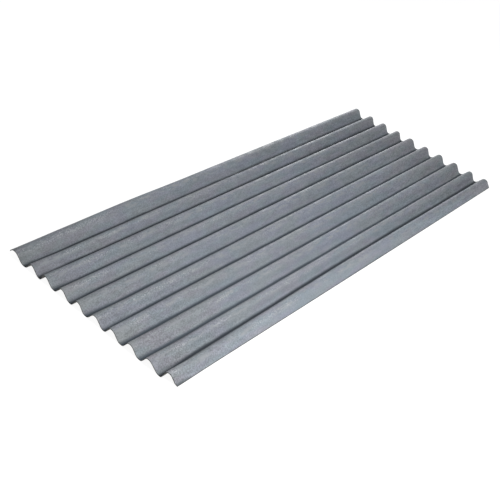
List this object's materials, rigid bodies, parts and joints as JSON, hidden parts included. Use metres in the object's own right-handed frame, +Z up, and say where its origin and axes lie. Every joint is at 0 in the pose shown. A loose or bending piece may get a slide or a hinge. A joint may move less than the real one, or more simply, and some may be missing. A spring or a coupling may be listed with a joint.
{
  "type": "corrugated bitumen sheet",
  "caption": "Rectangular bitumen fibre roofing sheet with rounded waves along its length, nailed through the crests and lapped at its sides and ends.",
  "frame": {"origin": "middle of the plan, on the level that the undersides of the valleys rest on", "axes": "+X along the waves, +Y across them towards the side edge that ends half way down its flank, +Z up towards the weather side"},
  "size_m": [2, 0.76, 0.0314],
  "materials": {
    "bitumen_board": "matt grey, fine-grained, bitumen-soaked fibre board with darker cut edges"
  },
  "bodies": {
    "root": {"corrugated_sheet": "bitumen_board"}
  },
  "joints": []
}
